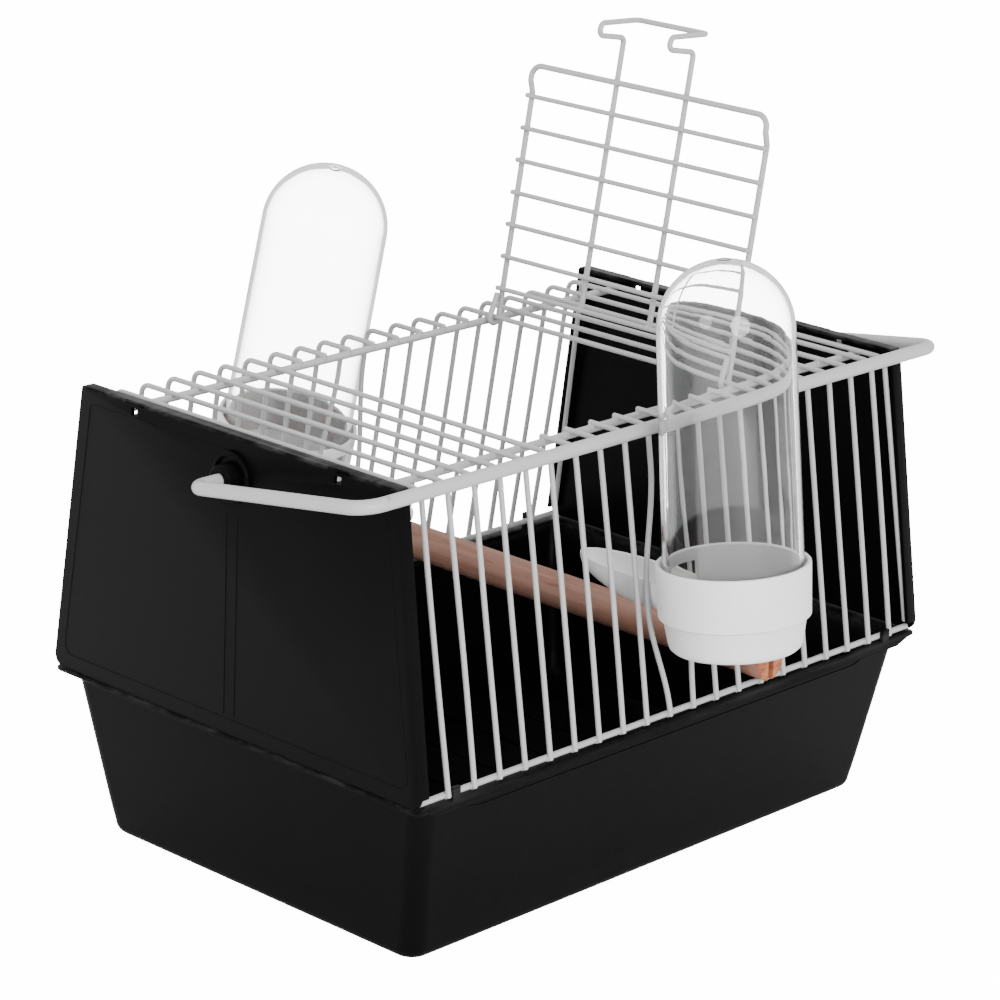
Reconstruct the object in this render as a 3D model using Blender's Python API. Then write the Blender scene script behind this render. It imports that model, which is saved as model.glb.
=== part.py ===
"""A small travel cage for a pet bird, as separate pieces.

A deep plastic tray carries a wire body closed by two moulded end panels. A wire door opens on
the roof, two seed feeders hang on the long sides with their spouts between the wires, a dowel
perch lies across the inside, and a wire carrying handle swings from bosses on the end panels.

The origin is the middle of the tray's underside. X runs along the cage, Y across it, Z is up.
The front, with the handle's bar at rest, faces -Y. The door is modelled standing open.
"""

import math

import bmesh
import bpy
from mathutils import Matrix, Vector

MM = 0.001

# Wire body
WIRE_PITCH = 12 * MM
WIRE_COUNT = 20
ROOF_WIRES_EACH_END = 6
WIRE_RADIUS = 0.95 * MM
WIRE_BEND = 4 * MM
WIRE_FOOT_Z = 62.9 * MM
BOTTOM_RAIL_Z = 63.6 * MM
FACE_Y_AT_RAIL = 89.95 * MM
ROOF_Z = 163.65 * MM
ROOF_EDGE_Y = 74.1 * MM
FACE_SLOPE = (FACE_Y_AT_RAIL - ROOF_EDGE_Y) / (ROOF_Z - BOTTOM_RAIL_Z)
END_WIRE_X = (125.2 * MM, 121.5 * MM)
END_WIRE_FOOT = (88.2 * MM, 65.4 * MM)
GAP = 0.3 * MM

# Rails welded inside the wires
BOTTOM_RAIL_RADIUS = 1.1 * MM
BOTTOM_RAIL_HALF = 126.4 * MM
ROOF_RAIL_RADIUS = 1.4 * MM
ROOF_RAIL_HALF = 124.6 * MM
ROOF_RAIL_Y = 59.6 * MM
STUB_END_Y = 58.2 * MM

# Tray
TRAY_WALL = 1.8 * MM
TRAY_FOOT = (115.9 * MM, 76.5 * MM)
TRAY_NECK = (124.0 * MM, 87.6 * MM)
TRAY_NECK_Z = 60.3 * MM
RIM = (128.9 * MM, 91.0 * MM)
RIM_TOP_Z = 61.9 * MM
RIM_THICKNESS = 1.6 * MM
LIP_DROP = 3.5 * MM
LIP_THICKNESS = 1.5 * MM
LIP_HALF = (126.5 * MM, 118 * MM)
HOOK_X = 111.1 * MM
HOOK_SIZE = (3.2 * MM, 1.6 * MM, 5.3 * MM)

# End panels
PANEL_BASE_X = 128.5 * MM
PANEL_BASE_Z = 62.2 * MM
PANEL_LEAN = math.radians(0.87)
PANEL_HEIGHT = 105.1 * MM
PANEL_HALF_BASE = 91.6 * MM
PANEL_HALF_TOP = 77.2 * MM
PANEL_THICKNESS = 1.5 * MM
PANEL_FLANGE = 4.8 * MM
PANEL_FOOT_ROUND = 4 * MM
BOSS_RADIUS = 9 * MM
BOSS_HEIGHT = 1.8 * MM
HUB_RADIUS = 5.3 * MM
HUB_HEIGHT = 6.4 * MM
CLIP_Y = 49.5 * MM

# Carrying handle
HANDLE_RADIUS = 2.4 * MM
HANDLE_PIVOT_Z = 153 * MM
HANDLE_HALF = 144.5 * MM
HANDLE_END_X = 124.9 * MM
HANDLE_BAR = (-80.25 * MM, 165.4 * MM)

# Door
DOOR_HINGE_WIRE = 15
DOOR_OPEN = math.radians(100.3)
DOOR_HALF = 56.3 * MM
DOOR_WIRE_RADIUS = 1.1 * MM
DOOR_EYE_RADIUS = WIRE_RADIUS + DOOR_WIRE_RADIUS + GAP
DOOR_CROSS_RADIUS = 0.9 * MM
DOOR_CROSS_COUNT = 7
DOOR_CROSS_FIRST = 10.8 * MM
DOOR_CROSS_HALF = 57.6 * MM
DOOR_CROSS_N = DOOR_EYE_RADIUS - DOOR_WIRE_RADIUS - DOOR_CROSS_RADIUS - GAP
DOOR_TOP_U = 94.2 * MM
LATCH_RADIUS = 1.05 * MM
LATCH_HALF = 16.6 * MM
LATCH_N = DOOR_CROSS_N + DOOR_WIRE_RADIUS + LATCH_RADIUS + GAP

# Feeders, each at the middle of its cup's rim, leaning towards the cage
FRONT_FEEDER = (-2.6 * MM, -111.6 * MM, 124.2 * MM)
FRONT_LEAN = math.radians(5.8)
BACK_FEEDER = (0.0, 109.7 * MM, 122.5 * MM)
BACK_LEAN = math.radians(13.2)
CUP_RADIUS = 26.3 * MM
CUP_WALL = 1.6 * MM
CUP_STEP = 18.4 * MM
CUP_HEIGHT = 30.3 * MM
CUP_LOWER = (24.2 * MM, 22.9 * MM)
TUBE_RIM_RADIUS = 24.1 * MM
TUBE_DOME_RADIUS = 23.1 * MM
TUBE_WALL = 1.4 * MM
TUBE_ABOVE_RIM = 102.7 * MM
TUBE_INSERTED = 16.2 * MM
SPOUT_HALF_WIDTH = 9 * MM
SPOUT_REACH = 68 * MM
SPOUT_TOP = -12.9 * MM
SPOUT_DEPTH = 12.4 * MM
SPOUT_NOSE = 26 * MM
SPOUT_WALL = 1.3 * MM
SPOUT_TILT = math.radians(5.8)

# Perch
PERCH_RADIUS = 6.6 * MM
PERCH_WIRE = 14
PERCH_Z = 71.6 * MM
PERCH_HALF = 94 * MM
PERCH_NOTCH = (2.6 * MM, 8 * MM)

SOFT_EDGE = math.radians(35)


# ---------------------------------------------------------------- helpers


def clear_scene():
    for obj in list(bpy.data.objects):
        bpy.data.objects.remove(obj, do_unlink=True)


def material(name, colour, roughness, metallic=0.0, alpha=1.0):
    made = bpy.data.materials.new(name)
    made.use_nodes = True
    shader = made.node_tree.nodes["Principled BSDF"]
    shader.inputs["Base Color"].default_value = (*colour, 1)
    shader.inputs["Roughness"].default_value = roughness
    shader.inputs["Metallic"].default_value = metallic
    shader.inputs["Alpha"].default_value = alpha
    return made


def add_object(name, data, finish=None, parent=None):
    obj = bpy.data.objects.new(name, data)
    bpy.context.scene.collection.objects.link(obj)
    if finish:
        data.materials.append(finish)
    obj.parent = parent
    return obj


def add_mesh(name, shape, finish=None, parent=None):
    """An object from a bmesh, with its faces out and its round parts shaded smooth."""
    bmesh.ops.recalc_face_normals(shape, faces=shape.faces)
    mesh = bpy.data.meshes.new(name)
    shape.to_mesh(mesh)
    shape.free()
    mesh.shade_smooth()
    mesh.set_sharp_from_angle(angle=SOFT_EDGE)
    return add_object(name, mesh, finish, parent)


def add_axis(name, location, rotation=(0, 0, 0)):
    """An empty on a joint's axis, for the pieces that move with it."""
    empty = add_object(name, None)
    empty.location = location
    empty.rotation_euler = rotation
    return empty


def add_helper(shape, name, parent):
    """A mesh that only cuts or joins another: it isn't a piece of its own."""
    helper = add_mesh(name, shape, parent=parent)
    helper.hide_render = True
    helper.display_type = "WIRE"
    return helper


def combine(obj, shape, operation, name):
    """Cuts a shape from obj, or joins it on, in obj's own coordinates."""
    helper = add_helper(shape, f"{obj.name}_{name}", obj)
    boolean = obj.modifiers.new(name, "BOOLEAN")
    boolean.operation = operation
    boolean.solver = "EXACT"
    boolean.object = helper


def block(low, high):
    shape = bmesh.new()
    bmesh.ops.create_cube(shape, size=1)
    low, high = Vector(low), Vector(high)
    bmesh.ops.scale(shape, vec=high - low, verts=shape.verts)
    bmesh.ops.translate(shape, vec=(low + high) / 2, verts=shape.verts)
    return shape


def skin(rings):
    """A closed body through rings of equally many points, with a face over the first and the last."""
    shape = bmesh.new()
    loops = [[shape.verts.new(point) for point in ring] for ring in rings]
    for lower, upper in zip(loops, loops[1:]):
        for i in range(len(lower)):
            j = (i + 1) % len(lower)
            shape.faces.new((lower[i], lower[j], upper[j], upper[i]))
    shape.faces.new(loops[0][::-1])
    shape.faces.new(loops[-1])
    return shape


def turned(profile, sides=32):
    """A body of revolution about Z from (radius, height) points, open or closed at the axis."""
    rings = []
    for radius, height in profile:
        angles = [2 * math.pi * i / sides for i in range(sides)]
        rings.append([(radius * math.cos(a), radius * math.sin(a), height) for a in angles])
    return skin(rings)


def round_box_ring(half, corner, z, steps=4):
    """A ring round a rectangle with rounded corners, at height z."""
    points = []
    for quarter in range(4):
        sign_x = 1 if quarter in (0, 3) else -1
        sign_y = 1 if quarter in (0, 1) else -1
        for step in range(steps + 1):
            angle = math.pi / 2 * (quarter + step / steps)
            x = sign_x * (half[0] - corner) + corner * math.cos(angle)
            y = sign_y * (half[1] - corner) + corner * math.sin(angle)
            points.append((x, y, z))
    return points


def rounded_path(corners, bends, steps=4):
    """The line through the corners, with each inner corner turned at its own bend radius."""
    points = [Vector(corners[0])]
    for before, corner, after, bend in zip(corners, corners[1:], corners[2:], bends):
        corner = Vector(corner)
        back = (Vector(before) - corner).normalized()
        ahead = (Vector(after) - corner).normalized()
        half = back.angle(ahead) / 2
        centre = corner + (back + ahead).normalized() * bend / math.sin(half)
        start = corner + back * bend / math.tan(half) - centre
        turn = math.pi - 2 * half
        for step in range(steps + 1):
            spin = Matrix.Rotation(turn * step / steps, 3, ahead.cross(back))
            points.append(centre + spin @ start)
    points.append(Vector(corners[-1]))
    return points


def add_wire(name, points, radius, finish, parent=None, sides=8):
    curve = bpy.data.curves.new(name, "CURVE")
    curve.dimensions = "3D"
    spline = curve.splines.new("POLY")
    spline.points.add(len(points) - 1)
    for slot, point in zip(spline.points, points):
        slot.co = (*point, 1)
    curve.bevel_depth = radius
    curve.bevel_resolution = (sides - 4) // 2
    curve.use_fill_caps = True
    return add_object(name, curve, finish, parent)


# ---------------------------------------------------------------- tray


def make_tray(finish):
    foot, neck = Vector(TRAY_FOOT), Vector(TRAY_NECK)

    def body(z, inset, corner):
        share = z / TRAY_NECK_Z
        half = foot.lerp(neck, share) - Vector((inset, inset))
        return round_box_ring(half, corner - inset, z)

    under = RIM_TOP_Z - RIM_THICKNESS
    mouth = (neck[0] - TRAY_WALL, neck[1] - TRAY_WALL)
    rings = [
        body(0.0, 3 * MM, 7.5 * MM),
        body(1.0 * MM, 0.8 * MM, 7.5 * MM),
        body(3.2 * MM, 0.0, 6.5 * MM),
        body(under, 0.0, 5 * MM),
        round_box_ring(RIM, 3 * MM, under),
        round_box_ring(RIM, 3 * MM, RIM_TOP_Z),
        round_box_ring(mouth, 3.2 * MM, RIM_TOP_Z),
        body(4.4 * MM, TRAY_WALL, 6.5 * MM),
        body(TRAY_WALL, 4.2 * MM, 7.5 * MM),
    ]
    tray = add_mesh("tray", skin(rings), finish)
    for side_y in (-1, 1):
        tag = "front" if side_y < 0 else "back"
        combine(tray, rim_lip(side_y), "UNION", f"{tag}_lip")
        for side_x in (-1, 1):
            hook = tray_hook(side_x * HOOK_X, side_y)
            combine(tray, hook, "UNION", f"{tag}_hook_{side_x}")


def rim_lip(side_y):
    """The lip that stiffens the rim along a long side, tapering off before the corners."""
    outer = side_y * (RIM[1] - 0.1 * MM)
    inner = outer - side_y * LIP_THICKNESS
    top = RIM_TOP_Z - 0.7 * MM
    profile = [
        (-LIP_HALF[0], top),
        (-LIP_HALF[1], RIM_TOP_Z - LIP_DROP),
        (LIP_HALF[1], RIM_TOP_Z - LIP_DROP),
        (LIP_HALF[0], top),
    ]
    return skin([[(x, y, z) for x, z in profile] for y in (inner, outer)])


def tray_hook(x, side_y):
    """A small upright hook on the rim that holds the wire body's bottom rail from outside."""
    width, depth, height = HOOK_SIZE
    near = side_y * (RIM[1] - 0.2 * MM)
    far = near - side_y * depth
    foot = RIM_TOP_Z - 0.8 * MM
    low = (x - width / 2, min(near, far), foot)
    high = (x + width / 2, max(near, far), foot + height)
    return block(low, high)


# ---------------------------------------------------------------- end panels


def panel_outline(inset, x):
    """The panel's outline in its own Y and Z, inset from the sides and the top."""
    slope = (PANEL_HALF_BASE - PANEL_HALF_TOP) / PANEL_HEIGHT
    top = PANEL_HEIGHT - inset
    half_top = PANEL_HALF_BASE - slope * top - inset
    half_foot = PANEL_HALF_BASE - inset
    corners = [
        (x, half_foot - slope * 40 * MM, 40 * MM),
        (x, half_top, top),
        (x, -half_top, top),
        (x, -half_foot, 0),
        (x, half_foot, 0),
        (x, half_foot - slope * 40 * MM, 40 * MM),
    ]
    bends = (1.2 * MM, 1.2 * MM, PANEL_FOOT_ROUND, PANEL_FOOT_ROUND)
    return rounded_path(corners, bends, steps=3)[:-1]


def panel_hollow(x_low, x_high):
    """What is cut from the solid panel, open at the foot, to leave the plate and its flange."""
    slope = (PANEL_HALF_BASE - PANEL_HALF_TOP) / PANEL_HEIGHT
    below = -5 * MM
    top = PANEL_HEIGHT - PANEL_THICKNESS
    rings = []
    for x in (x_low, x_high):
        ring = []
        for side, z in ((1, below), (1, top), (-1, top), (-1, below)):
            half = PANEL_HALF_BASE - slope * z - PANEL_THICKNESS
            ring.append((x, side * half, z))
        rings.append(ring)
    return skin(rings)


def make_end_panel(name, side, finish):
    """The panel is built with its outer face at x = 0 and its foot at z = 0, facing +X."""
    outer = panel_outline(0, 0)
    inner = panel_outline(0, -PANEL_FLANGE)
    panel = add_mesh(name, skin([inner, outer]), finish)
    panel.location = (side * PANEL_BASE_X, 0, PANEL_BASE_Z)
    panel.rotation_euler = (0, -PANEL_LEAN, 0 if side > 0 else math.pi)
    inside = -PANEL_THICKNESS
    combine(panel, panel_hollow(-PANEL_FLANGE - 2 * MM, inside), "DIFFERENCE", "hollow")

    boss_z = HANDLE_PIVOT_Z - PANEL_BASE_Z
    bore = HANDLE_RADIUS + GAP
    boss = turned(
        [
            (HUB_RADIUS, -0.5 * MM),
            (HUB_RADIUS, HUB_HEIGHT - 0.8 * MM),
            (HUB_RADIUS - 0.8 * MM, HUB_HEIGHT),
        ],
        24,
    )
    ring = turned([(BOSS_RADIUS, -0.5 * MM), (BOSS_RADIUS - 0.4 * MM, BOSS_HEIGHT)], 28)
    groove = turned([(HUB_RADIUS + 2.2 * MM, 0.5 * MM), (HUB_RADIUS + 2.4 * MM, 5 * MM)], 28)
    pin_hole = turned([(bore, -5 * MM), (bore, 12 * MM)], 20)
    outward = Matrix.Rotation(math.pi / 2, 4, "Y")
    place = Matrix.Translation((0, 0, boss_z)) @ outward
    for shape, operation, part in (
        (ring, "UNION", "ring"),
        (groove, "DIFFERENCE", "groove"),
        (boss, "UNION", "hub"),
        (pin_hole, "DIFFERENCE", "bore"),
    ):
        bmesh.ops.transform(shape, matrix=place, verts=shape.verts)
        combine(panel, shape, operation, part)

    for side_y in (-1, 1):
        tag = "front" if side_y < 0 else "back"
        y = side_y * CLIP_Y
        clip_z = PANEL_HEIGHT - 5.6 * MM
        clip = block(
            (-7.8 * MM, y - 4 * MM, clip_z - 1.6 * MM),
            (inside + 0.6 * MM, y + 4 * MM, clip_z),
        )
        combine(panel, clip, "UNION", f"clip_{tag}")
        window_z = PANEL_HEIGHT - 3.4 * MM
        window = block(
            (-3 * MM, y - 1.7 * MM, window_z - 1.3 * MM),
            (2 * MM, y + 1.7 * MM, window_z + 1.3 * MM),
        )
        combine(panel, window, "DIFFERENCE", f"window_{tag}")
        notch = block(
            (-0.9 * MM, y - 5 * MM, PANEL_HEIGHT - 1.2 * MM),
            (2 * MM, y + 5 * MM, PANEL_HEIGHT + 2 * MM),
        )
        combine(panel, notch, "DIFFERENCE", f"notch_{tag}")
        near = side_y * (FACE_Y_AT_RAIL - 5 * MM)
        far = side_y * (PANEL_HALF_BASE + 3 * MM)
        relief = block(
            (-PANEL_FLANGE - 3 * MM, min(near, far), -3 * MM),
            (-PANEL_THICKNESS - 0.1 * MM, max(near, far), 3.6 * MM),
        )
        combine(panel, relief, "DIFFERENCE", f"relief_{tag}")


# ---------------------------------------------------------------- wire body


def wire_x(index):
    return (index - (WIRE_COUNT + 1) / 2) * WIRE_PITCH


def face_y(z):
    """How far the wires of a long side stand from the middle at height z."""
    return FACE_Y_AT_RAIL - FACE_SLOPE * (z - BOTTOM_RAIL_Z)


def hoop_points(x_foot, x_roof, foot):
    """A wire over the roof and down both long sides, ending at foot, as (Y, Z)."""
    corners = [
        (x_foot, -foot[0], foot[1]),
        (x_roof, -ROOF_EDGE_Y, ROOF_Z),
        (x_roof, ROOF_EDGE_Y, ROOF_Z),
        (x_foot, foot[0], foot[1]),
    ]
    return rounded_path(corners, (WIRE_BEND, WIRE_BEND))


def stub_points(x, side_y):
    corners = [
        (x, side_y * face_y(WIRE_FOOT_Z), WIRE_FOOT_Z),
        (x, side_y * ROOF_EDGE_Y, ROOF_Z),
        (x, side_y * STUB_END_Y, ROOF_Z),
    ]
    return rounded_path(corners, (WIRE_BEND,))


def spread_round_spout(points, x, side_y):
    """Bows a stub wire sideways where a feeder's spout passes it."""
    centre_x = (FRONT_FEEDER if side_y < 0 else BACK_FEEDER)[0]
    clear = SPOUT_HALF_WIDTH + WIRE_RADIUS + 2.5 * GAP
    peak = centre_x + math.copysign(clear, x - centre_x)
    low, middle, high = WIRE_FOOT_Z, 104 * MM, 152 * MM
    bowed = [points[0]]
    for step in range(1, 12):
        z = low + (high - low) * step / 12
        reach = (z - low) / (middle - low) if z < middle else (high - z) / (high - middle)
        offset = (peak - x) * math.sin(math.pi / 2 * reach) ** 2
        bowed.append(Vector((x + offset, side_y * face_y(z), z)))
    return bowed + points[1:]


def make_wires(finish):
    for index, side in ((0, -1), (WIRE_COUNT + 1, 1)):
        points = hoop_points(side * END_WIRE_X[0], side * END_WIRE_X[1], END_WIRE_FOOT)
        add_wire(f"hoop_wire_{index:02d}", points, WIRE_RADIUS, finish)
    foot = (face_y(WIRE_FOOT_Z), WIRE_FOOT_Z)
    for index in range(1, WIRE_COUNT + 1):
        x = wire_x(index)
        whole = index <= ROOF_WIRES_EACH_END or index > WIRE_COUNT - ROOF_WIRES_EACH_END
        if whole:
            add_wire(f"hoop_wire_{index:02d}", hoop_points(x, x, foot), WIRE_RADIUS, finish)
            continue
        for side_y, face in ((-1, "front"), (1, "back")):
            points = stub_points(x, side_y)
            if abs(x) < WIRE_PITCH:
                points = spread_round_spout(points, x, side_y)
            add_wire(f"{face}_stub_wire_{index:02d}", points, WIRE_RADIUS, finish)


def make_rails(finish):
    roof_z = ROOF_Z - WIRE_RADIUS - ROOF_RAIL_RADIUS - GAP
    bottom_y = FACE_Y_AT_RAIL - WIRE_RADIUS - BOTTOM_RAIL_RADIUS - GAP
    for side_y, face in ((-1, "front"), (1, "back")):
        for name, half, y, z, radius in (
            (f"{face}_roof_rail", ROOF_RAIL_HALF, ROOF_RAIL_Y, roof_z, ROOF_RAIL_RADIUS),
            (f"{face}_bottom_rail", BOTTOM_RAIL_HALF, bottom_y, BOTTOM_RAIL_Z, BOTTOM_RAIL_RADIUS),
        ):
            line = [(-half, side_y * y, z), (half, side_y * y, z)]
            add_wire(name, line, radius, finish, sides=10)


# ---------------------------------------------------------------- handle, door, perch


def make_handle(finish):
    """Built level, with its bar straight ahead of the pivot, then turned down onto its stop."""
    bar_y, bar_z = HANDLE_BAR[0], HANDLE_BAR[1] - HANDLE_PIVOT_Z
    arm = math.hypot(bar_y, bar_z)
    axis = add_axis("handle_axis", (0, 0, HANDLE_PIVOT_Z), (-math.atan2(bar_z, -bar_y), 0, 0))
    corners = [
        (-HANDLE_END_X, 0, 0),
        (-HANDLE_HALF, 0, 0),
        (-HANDLE_HALF, -arm, 0),
        (HANDLE_HALF, -arm, 0),
        (HANDLE_HALF, 0, 0),
        (HANDLE_END_X, 0, 0),
    ]
    points = rounded_path(corners, (4.5 * MM, 8 * MM, 8 * MM, 4.5 * MM), steps=5)
    add_wire("handle_bail", points, HANDLE_RADIUS, finish, axis, sides=12)


def door_point(u, y, n):
    """A point of the closed door: u along it from the hinge, n above the hinge wire's middle."""
    return Vector((-u, y, n))


def eye_points(y):
    """The hinge eye, from its tail under the frame wire, round the hinge wire to its top side."""
    points = [door_point(9.2 * MM, y, -0.15 * MM), door_point(6.5 * MM, y, -0.75 * MM)]
    for step in range(10):
        angle = math.radians(284 - 194 * step / 10)
        u, n = DOOR_EYE_RADIUS * math.cos(angle), DOOR_EYE_RADIUS * math.sin(angle)
        points.append(door_point(u, y, n))
    return points


def both_sides(profile, half):
    """The points of a wire that runs up one side of the door, across it and down the other."""
    there = [door_point(u, half, n) for u, n in profile]
    back = [door_point(u, -half, n) for u, n in reversed(profile)]
    return there + back


def make_door(finish):
    """The frame lies on the cross wires, and its top bar dips to let the latch wire over it."""
    hinge = add_axis("door_axis", (wire_x(DOOR_HINGE_WIRE), 0, ROOF_Z), (0, DOOR_OPEN, 0))
    sides = [
        (0, DOOR_EYE_RADIUS),
        (84 * MM, DOOR_EYE_RADIUS),
        (88.6 * MM, DOOR_CROSS_N),
        (DOOR_TOP_U, DOOR_CROSS_N),
    ]
    bends = (2 * MM, 1.5 * MM, 4.5 * MM, 4.5 * MM, 1.5 * MM, 2 * MM)
    frame = rounded_path(both_sides(sides, DOOR_HALF), bends, steps=3)
    points = eye_points(DOOR_HALF) + frame + eye_points(-DOOR_HALF)[::-1]
    add_wire("door_frame", points, DOOR_WIRE_RADIUS, finish, hinge)

    for index in range(DOOR_CROSS_COUNT):
        u = DOOR_CROSS_FIRST + index * WIRE_PITCH
        line = [door_point(u, side_y * DOOR_CROSS_HALF, DOOR_CROSS_N) for side_y in (-1, 1)]
        add_wire(f"door_cross_wire_{index + 1}", line, DOOR_CROSS_RADIUS, finish, hinge)

    # Up the door and over a roof wire, down its far side, then back up to the finger bar.
    prongs = [
        (9.8 * MM, LATCH_N),
        (110.4 * MM, LATCH_N),
        (110.4 * MM, -11.8 * MM),
        (114.9 * MM, -10.8 * MM),
        (117.2 * MM, 8.2 * MM),
    ]
    half_bends = (1.9 * MM, 2.1 * MM, 2.1 * MM, 2 * MM)
    bends = half_bends + half_bends[::-1]
    points = rounded_path(both_sides(prongs, LATCH_HALF), bends, steps=4)
    add_wire("door_latch_wire", points, LATCH_RADIUS, finish, hinge)


def make_perch(finish):
    """A dowel on the bottom rails, with a notch in each end that a wire stands in."""
    shape = bmesh.new()
    bmesh.ops.create_cone(
        shape,
        cap_ends=True,
        segments=20,
        radius1=PERCH_RADIUS,
        radius2=PERCH_RADIUS,
        depth=2 * PERCH_HALF,
    )
    bmesh.ops.rotate(shape, cent=(0, 0, 0), matrix=Matrix.Rotation(math.pi / 2, 3, "X"), verts=shape.verts)
    perch = add_mesh("perch", shape, finish)
    perch.location = (wire_x(PERCH_WIRE), 0, PERCH_Z)
    width, depth = PERCH_NOTCH
    for side_y in (-1, 1):
        inner = side_y * (PERCH_HALF - depth)
        outer = side_y * (PERCH_HALF + 2 * MM)
        notch = block(
            (-width / 2, min(inner, outer), -PERCH_RADIUS - MM),
            (width / 2, max(inner, outer), PERCH_RADIUS + MM),
        )
        combine(perch, notch, "DIFFERENCE", "front_notch" if side_y < 0 else "back_notch")


# ---------------------------------------------------------------- feeders


def spout_body(inset, overshoot):
    """A boat-shaped trough from the cup's middle to its nose, inset by its wall on the inside."""
    reach = SPOUT_REACH - inset
    nose = SPOUT_NOSE - inset
    stations, sides = 9, 10
    rings = []
    for station in range(stations + 1):
        if station == 0:
            along = 14 * MM
        else:
            bow = 0.5 * math.pi * (station - 1) / (stations - 1) * 0.97
            along = reach - nose + nose * math.sin(bow)
        left = max(0.0, (along - (reach - nose)) / nose)
        fullness = math.sqrt(max(0.0, 1 - left * left))
        half = (SPOUT_HALF_WIDTH - inset) * fullness
        depth = (SPOUT_DEPTH - inset) * (1 - 0.35 * left) * fullness ** 0.6
        ring = []
        for step in range(sides + 1):
            angle = math.pi * step / sides
            across = half * math.cos(angle)
            down = depth * math.sin(angle) ** 0.75
            ring.append((across, along, SPOUT_TOP - down))
        top = SPOUT_TOP + overshoot
        ring = [(half, along, top)] + ring + [(-half, along, top)] if overshoot else ring
        rings.append(ring)
    shape = skin(rings)
    turn = Matrix.Rotation(SPOUT_TILT, 4, "X")
    bmesh.ops.transform(shape, matrix=turn, verts=shape.verts)
    return shape


def make_feeder(face, rim_middle, lean, turn, cup_finish, tube_finish):
    """Built upright about the rim's middle with its spout along +Y, then leant against the wires."""
    axis = add_axis(f"{face}_feeder_axis", rim_middle, (-lean, 0, turn))
    bottom = -CUP_HEIGHT
    outside = turned(
        [
            (CUP_LOWER[1] - 3 * MM, bottom),
            (CUP_LOWER[1] - 0.8 * MM, bottom + 0.9 * MM),
            (CUP_LOWER[1], bottom + 3 * MM),
            (CUP_LOWER[0], -CUP_STEP - 0.6 * MM),
            (CUP_RADIUS - 0.5 * MM, -CUP_STEP),
            (CUP_RADIUS, -0.5 * MM),
            (CUP_RADIUS - 0.4 * MM, 0),
        ]
    )
    cup = add_mesh(f"{face}_feeder_cup", outside, cup_finish, axis)
    combine(cup, spout_body(0, 0), "UNION", "spout")
    ledge = -TUBE_INSERTED - GAP
    inside = turned(
        [
            (CUP_LOWER[1] - CUP_WALL - 2 * MM, bottom + 1.6 * MM),
            (CUP_LOWER[1] - CUP_WALL, bottom + 3.4 * MM),
            (CUP_LOWER[0] - CUP_WALL - 0.4 * MM, ledge),
            (CUP_RADIUS - CUP_WALL, ledge + 0.1 * MM),
            (CUP_RADIUS - CUP_WALL, 3 * MM),
        ]
    )
    combine(cup, inside, "DIFFERENCE", "inside")
    combine(cup, spout_body(SPOUT_WALL, 6 * MM), "DIFFERENCE", "trough")

    length = TUBE_ABOVE_RIM - TUBE_DOME_RADIUS
    dome_steps = 6
    profile = [(TUBE_RIM_RADIUS - TUBE_WALL, -TUBE_INSERTED)]
    foot = (TUBE_RIM_RADIUS, -TUBE_INSERTED)
    outer, inner = [foot], []
    for step in range(dome_steps + 1):
        angle = math.pi / 2 * step / dome_steps * 0.985
        outer.append((TUBE_DOME_RADIUS * math.cos(angle), length + TUBE_DOME_RADIUS * math.sin(angle)))
        small = TUBE_DOME_RADIUS - TUBE_WALL
        inner.append((small * math.cos(angle), length + small * math.sin(angle)))
    tube = turned(inner[::-1] + profile + outer)
    add_mesh(f"{face}_feeder_tube", tube, tube_finish, axis)


# ---------------------------------------------------------------- assembly


def main():
    clear_scene()
    black = material("black_plastic", (0.012, 0.012, 0.013), 0.35)
    white_wire = material("coated_wire", (0.66, 0.66, 0.67), 0.4)
    white_plastic = material("white_plastic", (0.8, 0.8, 0.79), 0.4)
    clear = material("clear_plastic", (0.9, 0.92, 0.92), 0.05, alpha=0.3)
    beech = material("beech", (0.56, 0.33, 0.24), 0.6)

    make_tray(black)
    make_end_panel("left_end_panel", -1, black)
    make_end_panel("right_end_panel", 1, black)
    make_wires(white_wire)
    make_rails(white_wire)
    make_handle(white_wire)
    make_door(white_wire)
    make_perch(beech)
    make_feeder("front", FRONT_FEEDER, FRONT_LEAN, 0, white_plastic, clear)
    make_feeder("back", BACK_FEEDER, BACK_LEAN, math.pi, white_plastic, clear)


main()
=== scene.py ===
"""The looks of a small bird travel cage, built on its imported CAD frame.

The plastic, the feeders, the perch and every wire are rebuilt here at a finer grain, each riding
on the body that its CAD node belongs to. Lengths are in metres, in the frame of the CAD.
"""

import math
import random

import bmesh
import bpy
from mathutils import Matrix, Vector


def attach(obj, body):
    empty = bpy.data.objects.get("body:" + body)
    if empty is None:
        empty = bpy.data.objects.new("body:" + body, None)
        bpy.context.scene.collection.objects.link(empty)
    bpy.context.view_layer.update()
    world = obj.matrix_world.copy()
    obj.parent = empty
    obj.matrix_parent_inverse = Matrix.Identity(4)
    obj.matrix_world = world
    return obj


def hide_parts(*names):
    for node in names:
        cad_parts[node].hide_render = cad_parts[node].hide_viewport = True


MM = 0.001

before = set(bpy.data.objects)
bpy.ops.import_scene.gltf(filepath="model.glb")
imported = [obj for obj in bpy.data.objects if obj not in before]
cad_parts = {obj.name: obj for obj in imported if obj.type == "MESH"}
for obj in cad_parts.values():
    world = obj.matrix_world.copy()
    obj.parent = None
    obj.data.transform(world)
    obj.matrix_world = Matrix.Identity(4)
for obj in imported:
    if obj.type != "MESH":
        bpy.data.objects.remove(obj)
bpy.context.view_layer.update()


# ---------------------------------------------------------------- camera, light, floor


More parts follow.
